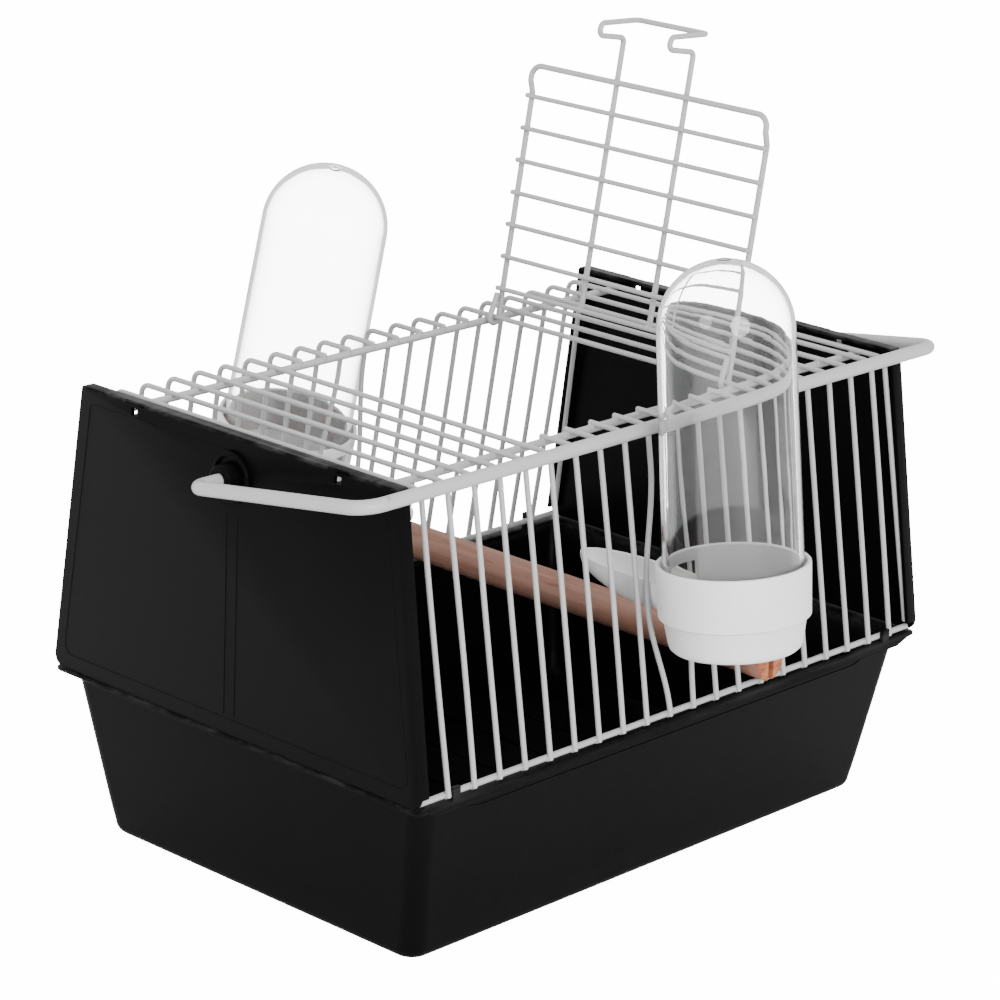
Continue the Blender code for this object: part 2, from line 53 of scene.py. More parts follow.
CAMERA_TURN, CAMERA_RISE, CAMERA_ROLL = -46.45, 18.09, 1.66
CAMERA_TARGET = (48.38 * MM, 45.31 * MM, 95.94 * MM)
CAMERA_DISTANCE = 1.4071
CAMERA_LENS = 135.58
WORLD_LIGHT = 1.5
WHITE_SEEN = 15
LIT_POINT = (0, 0, 0.12)
FLOOR_HALF = 12


def make_camera():
    turn, rise = math.radians(CAMERA_TURN), math.radians(CAMERA_RISE)
    roll = math.radians(CAMERA_ROLL)
    back = Vector(
        (math.sin(turn) * math.cos(rise), -math.cos(turn) * math.cos(rise), math.sin(rise))
    )
    right = (-back).cross(Vector((0, 0, 1))).normalized()
    up = right.cross(-back)
    across = math.cos(roll) * right + math.sin(roll) * up
    upward = -math.sin(roll) * right + math.cos(roll) * up
    data = bpy.data.cameras.new("camera")
    data.sensor_width = 36
    data.lens = CAMERA_LENS
    data.clip_end = 50
    camera = bpy.data.objects.new("camera", data)
    bpy.context.scene.collection.objects.link(camera)
    facing = Matrix((across, upward, back)).transposed().to_4x4()
    eye = Vector(CAMERA_TARGET) + back * CAMERA_DISTANCE
    camera.matrix_world = Matrix.Translation(eye) @ facing
    bpy.context.scene.camera = camera


def add_light(name, spot, size, power):
    data = bpy.data.lights.new(name, "AREA")
    data.shape = "DISK"
    data.size = size
    data.energy = power
    light = bpy.data.objects.new(name, data)
    bpy.context.scene.collection.objects.link(light)
    light.location = spot
    aim = Vector(LIT_POINT) - Vector(spot)
    light.rotation_euler = aim.to_track_quat("-Z", "Y").to_euler()


def seen_directly(nodes, links):
    """1 for what is seen straight or through clear plastic, 0 for what lights or reflects."""
    path = nodes.new("ShaderNodeLightPath")
    bounced = nodes.new("ShaderNodeMath")
    bounced.operation = "SUBTRACT"
    links.new(path.outputs["Ray Depth"], bounced.inputs[0])
    links.new(path.outputs["Transmission Depth"], bounced.inputs[1])
    direct = nodes.new("ShaderNodeMath")
    direct.operation = "LESS_THAN"
    direct.inputs[1].default_value = 0.5
    links.new(bounced.outputs[0], direct.inputs[0])
    return direct.outputs[0]


def make_studio():
    """A white cove: far brighter to look at than the light that it gives."""
    world = bpy.data.worlds.new("studio")
    world.use_nodes = True
    nodes, links = world.node_tree.nodes, world.node_tree.links
    strength = nodes.new("ShaderNodeMapRange")
    strength.inputs["To Min"].default_value = WORLD_LIGHT
    strength.inputs["To Max"].default_value = WHITE_SEEN
    links.new(seen_directly(nodes, links), strength.inputs["Value"])
    links.new(strength.outputs["Result"], nodes["Background"].inputs["Strength"])
    nodes["Background"].inputs["Color"].default_value = (1, 1, 1, 1)
    bpy.context.scene.world = world
    add_light("key", (-0.75, -1.7, 0.75), 1.1, 34)
    add_light("fill", (-1.9, -0.2, 0.9), 0.8, 8)
    make_floor()


def make_floor():
    shape = bmesh.new()
    bmesh.ops.create_grid(shape, x_segments=1, y_segments=1, size=FLOOR_HALF)
    mesh = bpy.data.meshes.new("floor")
    shape.to_mesh(mesh)
    shape.free()
    floor = bpy.data.objects.new("floor", mesh)
    bpy.context.scene.collection.objects.link(floor)
    floor.location.z = -0.2 * MM
    made, nodes, links, shader = new_material("floor_paper")
    grain = noise(nodes, links, 40, 2)
    tint = ramp(nodes, links, grain, ((0.3, (0.88, 0.88, 0.88)), (0.7, (0.92, 0.92, 0.92))))
    links.new(tint, shader.inputs["Base Color"])
    shader.inputs["Roughness"].default_value = 0.9
    shader.inputs["Specular IOR Level"].default_value = 0.1
    shader.inputs["Emission Color"].default_value = (1, 1, 1, 1)
    glow = nodes.new("ShaderNodeMapRange")
    glow.inputs["To Max"].default_value = WHITE_SEEN - 1
    links.new(seen_directly(nodes, links), glow.inputs["Value"])
    links.new(glow.outputs["Result"], shader.inputs["Emission Strength"])
    mesh.materials.append(made)


# ---------------------------------------------------------------- materials


def new_material(name):
    made = bpy.data.materials.new(name)
    made.use_nodes = True
    tree = made.node_tree
    return made, tree.nodes, tree.links, tree.nodes["Principled BSDF"]


def coordinates(nodes, links, stretch=(1, 1, 1)):
    source = nodes.new("ShaderNodeTexCoord")
    mapping = nodes.new("ShaderNodeMapping")
    mapping.inputs["Scale"].default_value = stretch
    links.new(source.outputs["Object"], mapping.inputs["Vector"])
    return mapping.outputs["Vector"]


def noise(nodes, links, scale, detail=3, stretch=(1, 1, 1), rough=0.5):
    made = nodes.new("ShaderNodeTexNoise")
    made.inputs["Scale"].default_value = scale
    made.inputs["Detail"].default_value = detail
    made.inputs["Roughness"].default_value = rough
    links.new(coordinates(nodes, links, stretch), made.inputs["Vector"])
    return made.outputs["Fac"]


def ramp(nodes, links, value, stops):
    made = nodes.new("ShaderNodeValToRGB")
    keys = made.color_ramp.elements
    while len(keys) < len(stops):
        keys.new(0.5)
    for key, (place, colour) in zip(keys, stops):
        key.position = place
        key.color = (*colour, 1) if len(colour) == 3 else (colour[0],) * 3 + (1,)
    links.new(value, made.inputs["Fac"])
    return made.outputs["Color"]


def mix(nodes, links, share, first, second):
    made = nodes.new("ShaderNodeMix")
    made.data_type = "RGBA"
    links.new(share, made.inputs["Factor"])
    for socket, value in ((made.inputs["A"], first), (made.inputs["B"], second)):
        if isinstance(value, tuple):
            socket.default_value = (*value, 1)
        else:
            links.new(value, socket)
    return made.outputs["Result"]


def multiply(nodes, links, first, second):
    made = nodes.new("ShaderNodeMath")
    made.operation = "MULTIPLY"
    links.new(first, made.inputs[0])
    links.new(second, made.inputs[1])
    return made.outputs[0]


def bump(nodes, links, shader, height, distance, strength):
    made = nodes.new("ShaderNodeBump")
    made.inputs["Distance"].default_value = distance
    made.inputs["Strength"].default_value = strength
    links.new(height, made.inputs["Height"])
    links.new(made.outputs["Normal"], shader.inputs["Normal"])


def band(nodes, links, axis, low, high):
    """Rises from 0 to 1 as the object coordinate along axis goes from low to high."""
    source = nodes.new("ShaderNodeTexCoord")
    split = nodes.new("ShaderNodeSeparateXYZ")
    made = nodes.new("ShaderNodeMapRange")
    made.inputs["From Min"].default_value = low
    made.inputs["From Max"].default_value = high
    links.new(source.outputs["Object"], split.inputs["Vector"])
    links.new(split.outputs[axis], made.inputs["Value"])
    return made.outputs["Result"]


def make_black(name, reflection_from, reflection_to, reflection_grey):
    """Black moulded plastic, with light grey streaks between two heights that are painted
    reflection.
    """
    made, nodes, links, shader = new_material(name)
    cloud = noise(nodes, links, 14, 4)
    base = ramp(nodes, links, cloud, ((0.35, (0.0018,) * 3), (0.7, (0.0028,) * 3)))
    # light grey streaks near the top edges: painted reflection, standing in for highlights on the
    # glossy black
    streak_noise = noise(nodes, links, 90, 5, (0.25, 1.0, 3.0), 0.65)
    reflection_streaks = ramp(nodes, links, streak_noise, ((0.44, (0,)), (0.62, (1,))))
    height = band(nodes, links, "Z", reflection_from, reflection_to)
    painted_reflection_share = multiply(nodes, links, reflection_streaks, height)
    colour = mix(nodes, links, painted_reflection_share, base, (reflection_grey, reflection_grey, reflection_grey * 1.02))
    links.new(colour, shader.inputs["Base Color"])
    rough = ramp(nodes, links, cloud, ((0.3, (0.3,)), (0.75, (0.4,))))
    links.new(rough, shader.inputs["Roughness"])
    shader.inputs["Specular IOR Level"].default_value = 0.035
    pebble = noise(nodes, links, 900, 2)
    bump(nodes, links, shader, pebble, 0.00008, 0.25)
    return made


def make_coating(name, colour, scuffs):
    """White powder coating: satin, faintly uneven, with a few dark rubs if asked for."""
    made, nodes, links, shader = new_material(name)
    cloud = noise(nodes, links, 45, 3)
    low = tuple(c * 0.95 for c in colour)
    base = ramp(nodes, links, cloud, ((0.3, low), (0.7, colour)))
    if scuffs:
        rubs = noise(nodes, links, 110, 6, (1.0, 0.35, 1.0), 0.7)
        share = ramp(nodes, links, rubs, ((0.66, (0,)), (0.74, (scuffs,))))
        base = mix(nodes, links, share, base, (0.16, 0.16, 0.17))
    links.new(base, shader.inputs["Base Color"])
    rough = ramp(nodes, links, cloud, ((0.3, (0.3,)), (0.7, (0.42,))))
    links.new(rough, shader.inputs["Roughness"])
    shader.inputs["Specular IOR Level"].default_value = 0.45
    ripple = noise(nodes, links, 420, 2)
    bump(nodes, links, shader, ripple, 0.00012, 0.35)
    return made


def make_white_plastic():
    made, nodes, links, shader = new_material("white_moulding")
    cloud = noise(nodes, links, 30, 3)
    base = ramp(nodes, links, cloud, ((0.3, (0.77, 0.77, 0.765)), (0.7, (0.81, 0.81, 0.805))))
    links.new(base, shader.inputs["Base Color"])
    rough = ramp(nodes, links, cloud, ((0.3, (0.36,)), (0.7, (0.46,))))
    links.new(rough, shader.inputs["Roughness"])
    shader.inputs["Subsurface Weight"].default_value = 0.12
    shader.inputs["Subsurface Scale"].default_value = 0.002
    grain = noise(nodes, links, 600, 2)
    bump(nodes, links, shader, grain, 0.00005, 0.25)
    return made


def make_clear():
    """Blown clear plastic: smooth outside, and wavy enough to bend what shows through it."""
    made, nodes, links, shader = new_material("clear_moulding")
    tint = noise(nodes, links, 8, 1)
    tints = ((0.2, (0.975, 0.98, 0.98)), (0.8, (0.99, 0.99, 0.99)))
    base = ramp(nodes, links, tint, tints)
    links.new(base, shader.inputs["Base Color"])
    shader.inputs["Roughness"].default_value = 0.02
    shader.inputs["IOR"].default_value = 1.46
    shader.inputs["Transmission Weight"].default_value = 1.0
    wave = noise(nodes, links, 95, 2, (1.0, 1.0, 0.28))
    bump(nodes, links, shader, wave, 0.0005, 0.1)
    return made


def make_beech():
    made, nodes, links, shader = new_material("beech_dowel")
    grain = noise(nodes, links, 420, 5, (1.0, 0.035, 1.0), 0.6)
    dark, middle, light = (0.235, 0.108, 0.07), (0.31, 0.158, 0.112), (0.36, 0.198, 0.148)
    base = ramp(nodes, links, grain, ((0.3, dark), (0.52, middle), (0.72, light)))
    flecks = noise(nodes, links, 700, 2, (1.0, 0.12, 1.0), 0.4)
    share = ramp(nodes, links, flecks, ((0.64, (0,)), (0.72, (0.55,))))
    base = mix(nodes, links, share, base, (0.17, 0.07, 0.04))
    links.new(base, shader.inputs["Base Color"])
    shader.inputs["Roughness"].default_value = 0.62
    bump(nodes, links, shader, grain, 0.00025, 0.4)
    return made


def make_end_grain():
    made, nodes, links, shader = new_material("beech_end_grain")
    rings = noise(nodes, links, 260, 5, (1.0, 0.3, 2.2), 0.6)
    base = ramp(nodes, links, rings, ((0.32, (0.20, 0.055, 0.02)), (0.65, (0.42, 0.14, 0.06))))
    links.new(base, shader.inputs["Base Color"])
    shader.inputs["Roughness"].default_value = 0.75
    bump(nodes, links, shader, rings, 0.0004, 0.6)
    return made


# ---------------------------------------------------------------- shapes


def place(obj, body, slot, *nodes):
    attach(obj, body)
    if nodes:
        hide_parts(*nodes)
    return obj


def add_mesh(name, shape, finish, soft_edge=35, bevel=0.0):
    bmesh.ops.remove_doubles(shape, verts=shape.verts, dist=1e-7)
    bmesh.ops.recalc_face_normals(shape, faces=shape.faces)
    mesh = bpy.data.meshes.new(name)
    shape.to_mesh(mesh)
    shape.free()
    mesh.shade_smooth()
    mesh.materials.append(finish)
    obj = bpy.data.objects.new(name, mesh)
    bpy.context.scene.collection.objects.link(obj)
    if bevel:
        rounding = obj.modifiers.new("rounding", "BEVEL")
        rounding.width = bevel
        rounding.segments = 2
        rounding.limit_method = "ANGLE"
        rounding.angle_limit = math.radians(32)
        rounding.harden_normals = True
    else:
        mesh.set_sharp_from_angle(angle=math.radians(soft_edge))
    return obj


def apply_modifiers(obj):
    """Bakes the modifiers into the mesh, so that helpers can be removed."""
    graph = bpy.context.evaluated_depsgraph_get()
    baked = bpy.data.meshes.new_from_object(obj.evaluated_get(graph))
    obj.modifiers.clear()
    obj.data = baked


def combine(obj, parts, finish):
    """Cuts or joins plain shapes, given as (bmesh, operation), and bakes the result."""
    helpers = []
    for index, (shape, operation) in enumerate(parts):
        helper = add_mesh(f"{obj.name}_helper_{index}", shape, finish)
        helpers.append(helper)
        boolean = obj.modifiers.new(f"step_{index}", "BOOLEAN")
        boolean.operation = operation
        boolean.solver = "EXACT"
        boolean.object = helper
    apply_modifiers(obj)
    for helper in helpers:
        bpy.data.objects.remove(helper, do_unlink=True)


def block(low, high):
    shape = bmesh.new()
    bmesh.ops.create_cube(shape, size=1)
    low, high = Vector(low), Vector(high)
    bmesh.ops.scale(shape, vec=high - low, verts=shape.verts)
    bmesh.ops.translate(shape, vec=(low + high) / 2, verts=shape.verts)
    return shape


def skin(rings):
    """A body through rings of equally many points, capped at both ends."""
    shape = bmesh.new()
    loops = [[shape.verts.new(point) for point in ring] for ring in rings]
    for lower, upper in zip(loops, loops[1:]):
        for i in range(len(lower)):
            j = (i + 1) % len(lower)
            shape.faces.new((lower[i], lower[j], upper[j], upper[i]))
    shape.faces.new(loops[0][::-1])
    shape.faces.new(loops[-1])
    return shape


def turned(profile, sides=96):
    """The body that a (radius, height) profile sweeps round Z."""
    angles = [2 * math.pi * i / sides for i in range(sides)]
    rings = []
    for radius, height in profile:
        rings.append([(radius * math.cos(a), radius * math.sin(a), height) for a in angles])
    return skin(rings)


def round_box_ring(half, corner, z, steps=10):
    """A level rectangle's outline with its corners rounded."""
    points = []
    for quarter in range(4):
        sign_x = 1 if quarter in (0, 3) else -1
        sign_y = 1 if quarter in (0, 1) else -1
        for step in range(steps + 1):
            angle = math.pi / 2 * (quarter + step / steps)
            x = sign_x * (half[0] - corner) + corner * math.cos(angle)
            y = sign_y * (half[1] - corner) + corner * math.sin(angle)
            points.append((x, y, z))
    return points


def rounded_path(corners, bends, steps=8):
    """The line through the corners, with each inner corner turned at its own bend radius."""
    points = [Vector(corners[0])]
    for before, corner, after, bend in zip(corners, corners[1:], corners[2:], bends):
        corner = Vector(corner)
        back = (Vector(before) - corner).normalized()
        ahead = (Vector(after) - corner).normalized()
        half = back.angle(ahead) / 2
        centre = corner + (back + ahead).normalized() * bend / math.sin(half)
        start = corner + back * bend / math.tan(half) - centre
        turn = math.pi - 2 * half
        for step in range(steps + 1):
            spin = Matrix.Rotation(turn * step / steps, 3, ahead.cross(back))
            points.append(centre + spin @ start)
    points.append(Vector(corners[-1]))
    return points


def domed_end(tip, inner, radius):
    """(point, share of the radius) pairs from the tip to where the wire has its full radius."""
    inward = (Vector(inner) - Vector(tip)).normalized()
    dome = []
    for share in (0.0, 0.35, 0.7):
        dome.append((Vector(tip) + inward * share * radius * 0.6, math.sqrt(share * (2 - share))))
    dome.append((Vector(tip) + inward * radius * 0.7, 1.0))
    return dome


def add_wire(name, points, radius, finish, sides=16):
    """A round wire along points, with its two ends domed over."""
    first, last = domed_end(points[0], points[1], radius), domed_end(points[-1], points[-2], radius)
    run = [(Vector(point), 1.0) for point in points[1:-1]]
    line = first + run + last[::-1]
    curve = bpy.data.curves.new(name, "CURVE")
    curve.dimensions = "3D"
    spline = curve.splines.new("POLY")
    spline.points.add(len(line) - 1)
    spline.use_smooth = True
    for knot, (point, share) in zip(spline.points, line):
        knot.co = (*point, 1)
        knot.radius = max(share, 0.02)
    curve.bevel_depth = radius
    curve.bevel_resolution = (sides - 4) // 2
    curve.use_fill_caps = True
    curve.materials.append(finish)
    obj = bpy.data.objects.new(name, curve)
    bpy.context.scene.collection.objects.link(obj)
    return obj


def add_blobs(name, spots, finish):
    """Rounded beads of coating where wires are welded: spots are (place, half sizes)."""
    shape = bmesh.new()
    for where, half in spots:
        made = bmesh.ops.create_icosphere(shape, subdivisions=2, radius=1)
        bmesh.ops.scale(shape, vec=Vector(half), verts=made["verts"])
        bmesh.ops.translate(shape, vec=Vector(where), verts=made["verts"])
    return add_mesh(name, shape, finish, soft_edge=180)


# ---------------------------------------------------------------- tray


TRAY_FOOT = Vector((115.9 * MM, 76.5 * MM))
TRAY_NECK = Vector((124.0 * MM, 87.6 * MM))
NECK_Z = 60.3 * MM
RIM_TOP = 61.9 * MM
RIM = (128.9 * MM, 91.0 * MM)
WALL = 1.8 * MM
LIP_OUTSIDE, LIP_INSIDE = 90.95 * MM, 89.4 * MM
HOOK_X = 111.1 * MM
HOOK_HALF = 1.7 * MM
HOOK_DEPTH = 1.6 * MM
RIB_PITCH = 24 * MM


def tray_ring(z, inset, corner):
    """The tray's outline at height z, moved in by inset."""
    half = TRAY_FOOT.lerp(TRAY_NECK, z / NECK_Z) - Vector((inset, inset))
    return round_box_ring(half, max(corner - inset, 1.5 * MM), z)


def rim_ring(inset, z):
    return round_box_ring((RIM[0] - inset, RIM[1] - inset), 3 * MM, z)


def tray_rings():
    """From the foot's rounded edge up to the rim, over it, and down to the floor inside."""
    rings = []
    for step in range(7):
        angle = math.pi / 2 * step / 6
        inset = 3 * MM * (1 - math.sin(angle))
        rings.append(tray_ring(3.2 * MM * (1 - math.cos(angle)), inset, 7.5 * MM))
    rings += [tray_ring(z * MM, 0, 7.0 * MM) for z in (12, 28, 44, 56)]
    rings.append(tray_ring(59.6 * MM, 0, 5 * MM))
    rings.append(round_box_ring((124.4 * MM, 88.0 * MM), 4 * MM, 60.25 * MM))
    rings += [rim_ring(0.5 * MM, NECK_Z), rim_ring(0, 60.7 * MM)]
    rings += [rim_ring(0, 61.5 * MM), rim_ring(0.4 * MM, RIM_TOP)]
    mouth = TRAY_NECK - Vector((WALL, WALL))
    rings.append(round_box_ring(mouth, 3.2 * MM, RIM_TOP))
    rings.append(round_box_ring((mouth[0] - 0.4 * MM, mouth[1] - 0.4 * MM), 3.2 * MM, 61.4 * MM))
    rings += [tray_ring(z * MM, WALL, 7.0 * MM) for z in (44, 20, 6)]
    rings.append(tray_ring(3.0 * MM, 2.4 * MM, 8 * MM))
    rings.append(tray_ring(WALL, 4.2 * MM, 9 * MM))
    return rings


def lip_and_hooks(side):
    """The lip under one long side of the rim, and the two hooks that stand on it."""
    outline = [(x * MM, z * MM) for x, z in ((118, 58.4), (122.5, 60.0), (126.5, 61.2))]
    outline = [(-x, z) for x, z in outline[::-1]] + outline
    ends = (side * LIP_INSIDE, side * LIP_OUTSIDE)
    steps = [(skin([[(x, y, z) for x, z in outline] for y in ends]), "UNION")]
    low, high = sorted((side * LIP_OUTSIDE, side * (LIP_OUTSIDE - HOOK_DEPTH)))
    for x in (-HOOK_X, HOOK_X):
        hook = block((x - HOOK_HALF, low, 61.0 * MM), (x + HOOK_HALF, high, 66.3 * MM))
        steps.append((hook, "UNION"))
    return steps


def make_tray(black):
    tray = add_mesh("tray_shell", skin(tray_rings()), black, soft_edge=40)
    combine(tray, lip_and_hooks(-1) + lip_and_hooks(1), black)
    tray.data.set_sharp_from_angle(angle=math.radians(38))
    place(tray, "tray", "black_plastic", "tray")


def make_tray_details(black):
    """Low ribs across the floor, and the shallow draft line that runs under each long rim."""
    ribs = bmesh.new()
    for index in range(9):
        x = (index - 4) * RIB_PITCH
        rib = block((x - 0.7 * MM, -70 * MM, 1.6 * MM), (x + 0.7 * MM, 70 * MM, 2.4 * MM))
        mesh = bpy.data.meshes.new("rib")
        rib.to_mesh(mesh)
        rib.free()
        ribs.from_mesh(mesh)
        bpy.data.meshes.remove(mesh)
    place(add_mesh("tray_floor_ribs", ribs, black, bevel=0.3 * MM), "tray", "black_plastic")
    for side, name in ((-1, "front"), (1, "back")):
        line = []
        for x, z in ((-102, 56.0), (-96, 54.6), (98, 54.6), (107, 57.6)):
            half = TRAY_FOOT.lerp(TRAY_NECK, z * MM / NECK_Z)[1]
            line.append((x * MM, side * (half - 0.02 * MM), z * MM))
        path = rounded_path(line, (4 * MM, 4 * MM))
        ridge = add_wire(f"tray_{name}_draft_line", path, 0.3 * MM, black, 8)
        place(ridge, "tray", "black_plastic")


# ---------------------------------------------------------------- end panels


PANEL_X = 128.5 * MM
PANEL_Z = 62.2 * MM
PANEL_HEIGHT = 105.1 * MM
PANEL_BASE, PANEL_TOP = 91.6 * MM, 77.2 * MM
PANEL_SLOPE = (PANEL_BASE - PANEL_TOP) / PANEL_HEIGHT
PANEL_LEAN = math.radians(0.87)
PLATE = 1.5 * MM
FLANGE = 4.8 * MM
PIVOT_Z = 153 * MM
BORDER_INSET = 5.6 * MM
CLIP_Y = 49.5 * MM


def panel_ring(x, inset=0.0):
    """The panel's outline, from a point partway up one sloping edge and round again."""
    top = PANEL_HEIGHT - inset
    start = (x, PANEL_BASE - PANEL_SLOPE * 40 * MM - inset, 40 * MM)
    corners = [
        start,
        (x, PANEL_BASE - PANEL_SLOPE * top - inset, top),
        (x, -(PANEL_BASE - PANEL_SLOPE * top - inset), top),
        (x, -(PANEL_BASE - inset), inset),
        (x, PANEL_BASE - inset, inset),
        start,
    ]
    return rounded_path(corners, (1.4 * MM, 1.4 * MM, 4 * MM, 4 * MM), steps=6)[:-1]


def panel_hollow():
    """What is cut from the panel's inner face, so that a plate and a flange are left."""
    top = PANEL_HEIGHT - PLATE
    rings = []
    for x in (-FLANGE - 2 * MM, -PLATE):
        corners = ((1, -5 * MM), (1, top), (-1, top), (-1, -5 * MM))
        ring = [(x, way * (PANEL_BASE - PANEL_SLOPE * z - PLATE), z) for way, z in corners]
        rings.append(ring)
    return skin(rings)


def boss_steps():
    """The round boss, its groove and its hub, bored for the handle."""
    edge = [(9 * MM, -0.5 * MM), (9 * MM, 1.2 * MM), (8.6 * MM, 1.7 * MM), (8 * MM, 1.8 * MM)]
    foot = [(5.9 * MM, -0.5 * MM), (5.5 * MM, 0.6 * MM), (5.3 * MM, 1.4 * MM)]
    tip = [(5.2 * MM, 5.3 * MM), (4.9 * MM, 6.0 * MM), (4.3 * MM, 6.35 * MM)]
    steps = [
        (turned(edge, 64), "UNION"),
        (turned([(7.4 * MM, 0.5 * MM), (7.6 * MM, 5 * MM)], 64), "DIFFERENCE"),
        (turned(foot + tip, 64), "UNION"),
        (turned([(2.7 * MM, -5 * MM), (2.7 * MM, 12 * MM)], 48), "DIFFERENCE"),
    ]
    height = PIVOT_Z - PANEL_Z
    outward = Matrix.Translation((0, 0, height)) @ Matrix.Rotation(math.pi / 2, 4, "Y")
    for shape, _ in steps:
        bmesh.ops.transform(shape, matrix=outward, verts=shape.verts)
    return steps


def clip_steps(way):
    """One roof rail's ledge, window and notch, and the room for the tray's lip below."""
    y, top = way * CLIP_Y, PANEL_HEIGHT
    low, high = sorted((way * 84.95 * MM, way * 94.6 * MM))
    ledge = block((-7.8 * MM, y - 4 * MM, top - 7.2 * MM), (-0.9 * MM, y + 4 * MM, top - 5.6 * MM))
    window = block((-3 * MM, y - 1.7 * MM, top - 4.7 * MM), (2 * MM, y + 1.7 * MM, top - 2.1 * MM))
    notch = block((-0.9 * MM, y - 5 * MM, top - 1.2 * MM), (2 * MM, y + 5 * MM, top + 2 * MM))
    room = block((-FLANGE - 3 * MM, low, -3 * MM), (-PLATE - 0.1 * MM, high, 3.6 * MM))
    cuts = [(shape, "DIFFERENCE") for shape in (window, notch, room)]
    return [(ledge, "UNION"), *cuts]


def panel_details(name, black):
    """A raised border inside the edge, and the pair of ribs under the boss."""
    loop = panel_ring(0.0, BORDER_INSET)
    details = [add_wire(f"{name}_border", [*loop, loop[0]], 0.1 * MM, black, 8)]
    for letter, y in (("a", -2.6 * MM), ("b", 2.6 * MM)):
        line = [(0, y, z * MM) for z in (7, 40, 78)]
        details.append(add_wire(f"{name}_rib_{letter}", line, 0.14 * MM, black, 8))
    return details


def make_panel(name, side, black):
    rings = [panel_ring(-FLANGE, 0.25 * MM), panel_ring(-FLANGE + 0.25 * MM)]
    rings += [panel_ring(-0.45 * MM), panel_ring(-0.13 * MM, 0.13 * MM), panel_ring(0, 0.45 * MM)]
    panel = add_mesh(f"{name}_shell", skin(rings), black)
    steps = [(panel_hollow(), "DIFFERENCE"), *boss_steps(), *clip_steps(-1), *clip_steps(1)]
    combine(panel, steps, black)
    panel.data.set_sharp_from_angle(angle=math.radians(30))

    details = panel_details(name, black)
    facing = Matrix.Rotation(0 if side > 0 else math.pi, 4, "Z")
    spin = facing @ Matrix.Rotation(-PANEL_LEAN, 4, "Y")
    where = Matrix.Translation((side * PANEL_X, 0, PANEL_Z)) @ spin
    for obj in (panel, *details):
        obj.matrix_world = where
    place(panel, "cage", "black_plastic", name)
    for obj in details:
        place(obj, "cage", "black_plastic")


# ---------------------------------------------------------------- wire body


WIRE = 0.95 * MM
RAIL = 1.4 * MM
LOW_RAIL = 1.1 * MM
ROOF_Z = 163.65 * MM
ROOF_EDGE = 74.1 * MM
FOOT_Z = 62.9 * MM
RAIL_Z = 63.6 * MM
FACE_AT_RAIL = 89.95 * MM
FACE_SLOPE = (FACE_AT_RAIL - ROOF_EDGE) / (ROOF_Z - RAIL_Z)
WIRE_PITCH = 12 * MM
ROOF_RAIL_Y = 59.6 * MM
BEND = 4 * MM
SWAY = 0.35 * MM
WELD_SINK = 0.35 * MM
FRONT_CUP_X = -2.6 * MM
BACK_CUP_X = 0.0


def wire_x(index):
    """Where wire 0 to 21 stands along the cage."""
    return (index - 10.5) * WIRE_PITCH


def face_y(z):
    """How far the sloping long side stands from the middle at height z."""
    return FACE_AT_RAIL - FACE_SLOPE * (z - RAIL_Z)


def with_sway(points, seed):
    """Small unevenness: a wire bows by a few tenths of a millimetre between its welds."""
    dice = random.Random(seed)
    bow, phase = dice.uniform(-SWAY, SWAY), dice.uniform(0.8, 1.2)
    swayed = []
    for point in points:
        share = (point.z - RAIL_Z) / (ROOF_Z - RAIL_Z)
        offset = bow * math.sin(math.pi * min(1.0, max(0.0, share)) * phase)
        swayed.append(point + Vector((offset, 0, 0)))
    return swayed


def subdivided(points, longest=6 * MM):
    fine = [Vector(points[0])]
    for start, end in zip(points, points[1:]):
        start, end = Vector(start), Vector(end)
        count = max(1, math.ceil((end - start).length / longest))
        fine += [start.lerp(end, step / count) for step in range(1, count + 1)]
    return fine


def hoop_line(x_foot, x_roof, foot):
    corners = [
        (x_foot, -foot[0], foot[1]),
        (x_roof, -ROOF_EDGE, ROOF_Z),
        (x_roof, ROOF_EDGE, ROOF_Z),
        (x_foot, foot[0], foot[1]),
    ]
    return rounded_path(corners, (BEND, BEND))


def stub_line(x, side):
    corners = [
        (x, side * face_y(FOOT_Z), FOOT_Z),
        (x, side * ROOF_EDGE, ROOF_Z),
        (x, side * 58.2 * MM, ROOF_Z),
    ]
    return rounded_path(corners, (BEND,))


def spread(points, x, side):
    """Bows a stub wire sideways where a feeder's spout passes it."""
    centre = FRONT_CUP_X if side < 0 else BACK_CUP_X
    peak = centre + math.copysign(9 * MM + WIRE + 0.75 * MM, x - centre)
    low, middle, high = FOOT_Z, 104 * MM, 152 * MM
    bowed = [points[0]]
    for step in range(1, 24):
        z = low + (high - low) * step / 24
        reach = (z - low) / (middle - low) if z < middle else (high - z) / (high - middle)
        offset = (peak - x) * math.sin(math.pi / 2 * reach) ** 2
        bowed.append(Vector((x + offset, side * face_y(z), z)))
    return bowed + points[1:]


def make_upright_wires(coating):
    foot = (face_y(FOOT_Z), FOOT_Z)
    for index, side in ((0, -1), (21, 1)):
        line = hoop_line(side * 125.2 * MM, side * 121.5 * MM, (88.2 * MM, 65.4 * MM))
        wire = add_wire(f"hoop_{index:02d}_coated", line, WIRE, coating)
        place(wire, "cage", "coated_wire", f"hoop_wire_{index:02d}")
    for index in range(1, 21):
        x = wire_x(index)
        if index <= 6 or index > 14:
            line = with_sway(subdivided(hoop_line(x, x, foot)), index)
            wire = add_wire(f"hoop_{index:02d}_coated", line, WIRE, coating)
            place(wire, "cage", "coated_wire", f"hoop_wire_{index:02d}")
            continue
        for side, face in ((-1, "front"), (1, "back")):
            line = stub_line(x, side)
            if abs(x) < WIRE_PITCH:
                line = spread(line, x, side)
            line = with_sway(subdivided(line), index * 3 + side)
            wire = add_wire(f"{face}_stub_{index:02d}_coated", line, WIRE, coating)
            place(wire, "cage", "coated_wire", f"{face}_stub_wire_{index:02d}")


